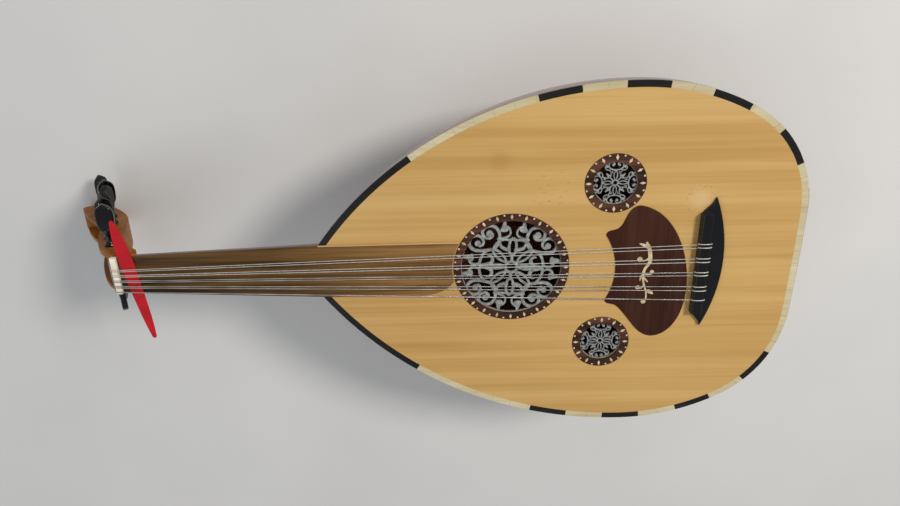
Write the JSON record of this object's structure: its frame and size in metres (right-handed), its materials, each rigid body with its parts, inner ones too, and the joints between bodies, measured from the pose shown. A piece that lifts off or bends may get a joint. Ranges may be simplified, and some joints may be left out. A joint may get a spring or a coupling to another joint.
{
  "type": "oud",
  "caption": "Fretless short-necked lute with a ribbed bowl, carved rosettes, a bent-back pegbox with turning pegs and a plectrum under its strings.",
  "frame": {"origin": "under the middle of the whole instrument, level with the lowest point of the bowl", "axes": "+X along the centre line towards the tail, +Y to the treble side, +Z out of the soundboard"},
  "size_m": [0.8064, 0.3702, 0.1954],
  "materials": {
    "rib_wood": "varnished, reddish brown",
    "purfling": "varnished, pale lines",
    "inner_wood": "bare",
    "soundboard": "satin, fine straight grain",
    "dark_binding": "polished black",
    "light_binding": "polished cream",
    "rosette_ring": "polished dark rosewood",
    "inlay": "cream inlay",
    "lattice": "matt, greyish white",
    "pickguard": "satin dark rosewood",
    "bridge": "satin black",
    "neck": "varnished, reddish dark brown",
    "fingerboard": "satin brown with dark streaks",
    "bone": "polished bone",
    "pegbox": "varnished honey brown",
    "peg": "polished black",
    "nylon": "clear pale grey",
    "silver_wire": "fine winding",
    "plectrum": "translucent red"
  },
  "bodies": {
    "body": {"rib_01": "rib_wood", "rib_02": "rib_wood", "rib_03": "rib_wood", "rib_04": "rib_wood", "rib_05": "rib_wood", "rib_06": "rib_wood", "rib_07": "rib_wood", "rib_08": "rib_wood", "rib_09": "rib_wood", "rib_10": "rib_wood", "rib_11": "rib_wood", "rib_12": "rib_wood", "rib_13": "rib_wood", "rib_purfling": "purfling", "neck_block": "inner_wood", "tail_block": "inner_wood", "edge_lining": "inner_wood", "soundboard_braces": "inner_wood", "tail_clasp": "rib_wood", "soundboard_treble": "soundboard", "soundboard_bass": "soundboard", "binding_black": "dark_binding", "binding_cream": "light_binding", "pickguard": "pickguard", "pickguard_inlay": "inlay", "bridge": "bridge", "neck": "neck", "neck_dowel": "inner_wood", "pegbox_root": "pegbox", "fingerboard": "fingerboard", "fingerboard_edging": "light_binding", "nut": "bone", "pegbox_end": "pegbox", "pegbox_back": "pegbox", "pegbox_cheek_treble": "pegbox", "pegbox_cheek_bass": "pegbox", "strings_plain": "nylon", "strings_wound": "silver_wire", "string_ties": "nylon", "main_rosette_ring": "rosette_ring", "main_rosette_inlay": "inlay", "main_rosette_lattice": "lattice", "treble_rosette_ring": "rosette_ring", "treble_rosette_inlay": "inlay", "treble_rosette_lattice": "lattice", "bass_rosette_ring": "rosette_ring", "bass_rosette_inlay": "inlay", "bass_rosette_lattice": "lattice"},
    "tuning_peg_01": {"peg_01": "peg"},
    "tuning_peg_02": {"peg_02": "peg"},
    "tuning_peg_03": {"peg_03": "peg"},
    "tuning_peg_04": {"peg_04": "peg"},
    "tuning_peg_05": {"peg_05": "peg"},
    "tuning_peg_06": {"peg_06": "peg"},
    "tuning_peg_07": {"peg_07": "peg"},
    "tuning_peg_08": {"peg_08": "peg"},
    "tuning_peg_09": {"peg_09": "peg"},
    "tuning_peg_10": {"peg_10": "peg"},
    "tuning_peg_11": {"peg_11": "peg"},
    "pick": {"plectrum": "plectrum"}
  },
  "joints": [
    {"name": "peg_01_turn", "type": "hinge", "parent": "body", "child": "tuning_peg_01", "pos_m": [-0.30474, 0, 0.15141], "axis": [0, 1, 0], "continuous": true},
    {"name": "peg_02_turn", "type": "hinge", "parent": "body", "child": "tuning_peg_02", "pos_m": [-0.31693, 0, 0.12675], "axis": [0, 1, 0], "continuous": true},
    {"name": "peg_03_turn", "type": "hinge", "parent": "body", "child": "tuning_peg_03", "pos_m": [-0.3278, 0, 0.1015], "axis": [0, 1, 0], "continuous": true},
    {"name": "peg_04_turn", "type": "hinge", "parent": "body", "child": "tuning_peg_04", "pos_m": [-0.33724, 0, 0.07567], "axis": [0, 1, 0], "continuous": true},
    {"name": "peg_05_turn", "type": "hinge", "parent": "body", "child": "tuning_peg_05", "pos_m": [-0.3493, 0, 0.051], "axis": [0, 1, 0], "continuous": true},
    {"name": "peg_06_turn", "type": "hinge", "parent": "body", "child": "tuning_peg_06", "pos_m": [-0.36544, 0, 0.02876], "axis": [0, 1, 0], "continuous": true},
    {"name": "peg_07_turn", "type": "hinge", "parent": "body", "child": "tuning_peg_07", "pos_m": [-0.31082, 0, 0.13935], "axis": [0, 1, 0], "continuous": true},
    {"name": "peg_08_turn", "type": "hinge", "parent": "body", "child": "tuning_peg_08", "pos_m": [-0.3225, 0, 0.11446], "axis": [0, 1, 0], "continuous": true},
    {"name": "peg_09_turn", "type": "hinge", "parent": "body", "child": "tuning_peg_09", "pos_m": [-0.33243, 0, 0.08882], "axis": [0, 1, 0], "continuous": true},
    {"name": "peg_10_turn", "type": "hinge", "parent": "body", "child": "tuning_peg_10", "pos_m": [-0.3426, 0, 0.06329], "axis": [0, 1, 0], "continuous": true},
    {"name": "peg_11_turn", "type": "hinge", "parent": "body", "child": "tuning_peg_11", "pos_m": [-0.35688, 0, 0.03984], "axis": [0, 1, 0], "continuous": true},
    {"name": "plectrum_pull", "type": "slide", "parent": "body", "child": "pick", "axis": [-0.1477, 0.989, 0], "range_m": [0, 0.14]}
  ]
}
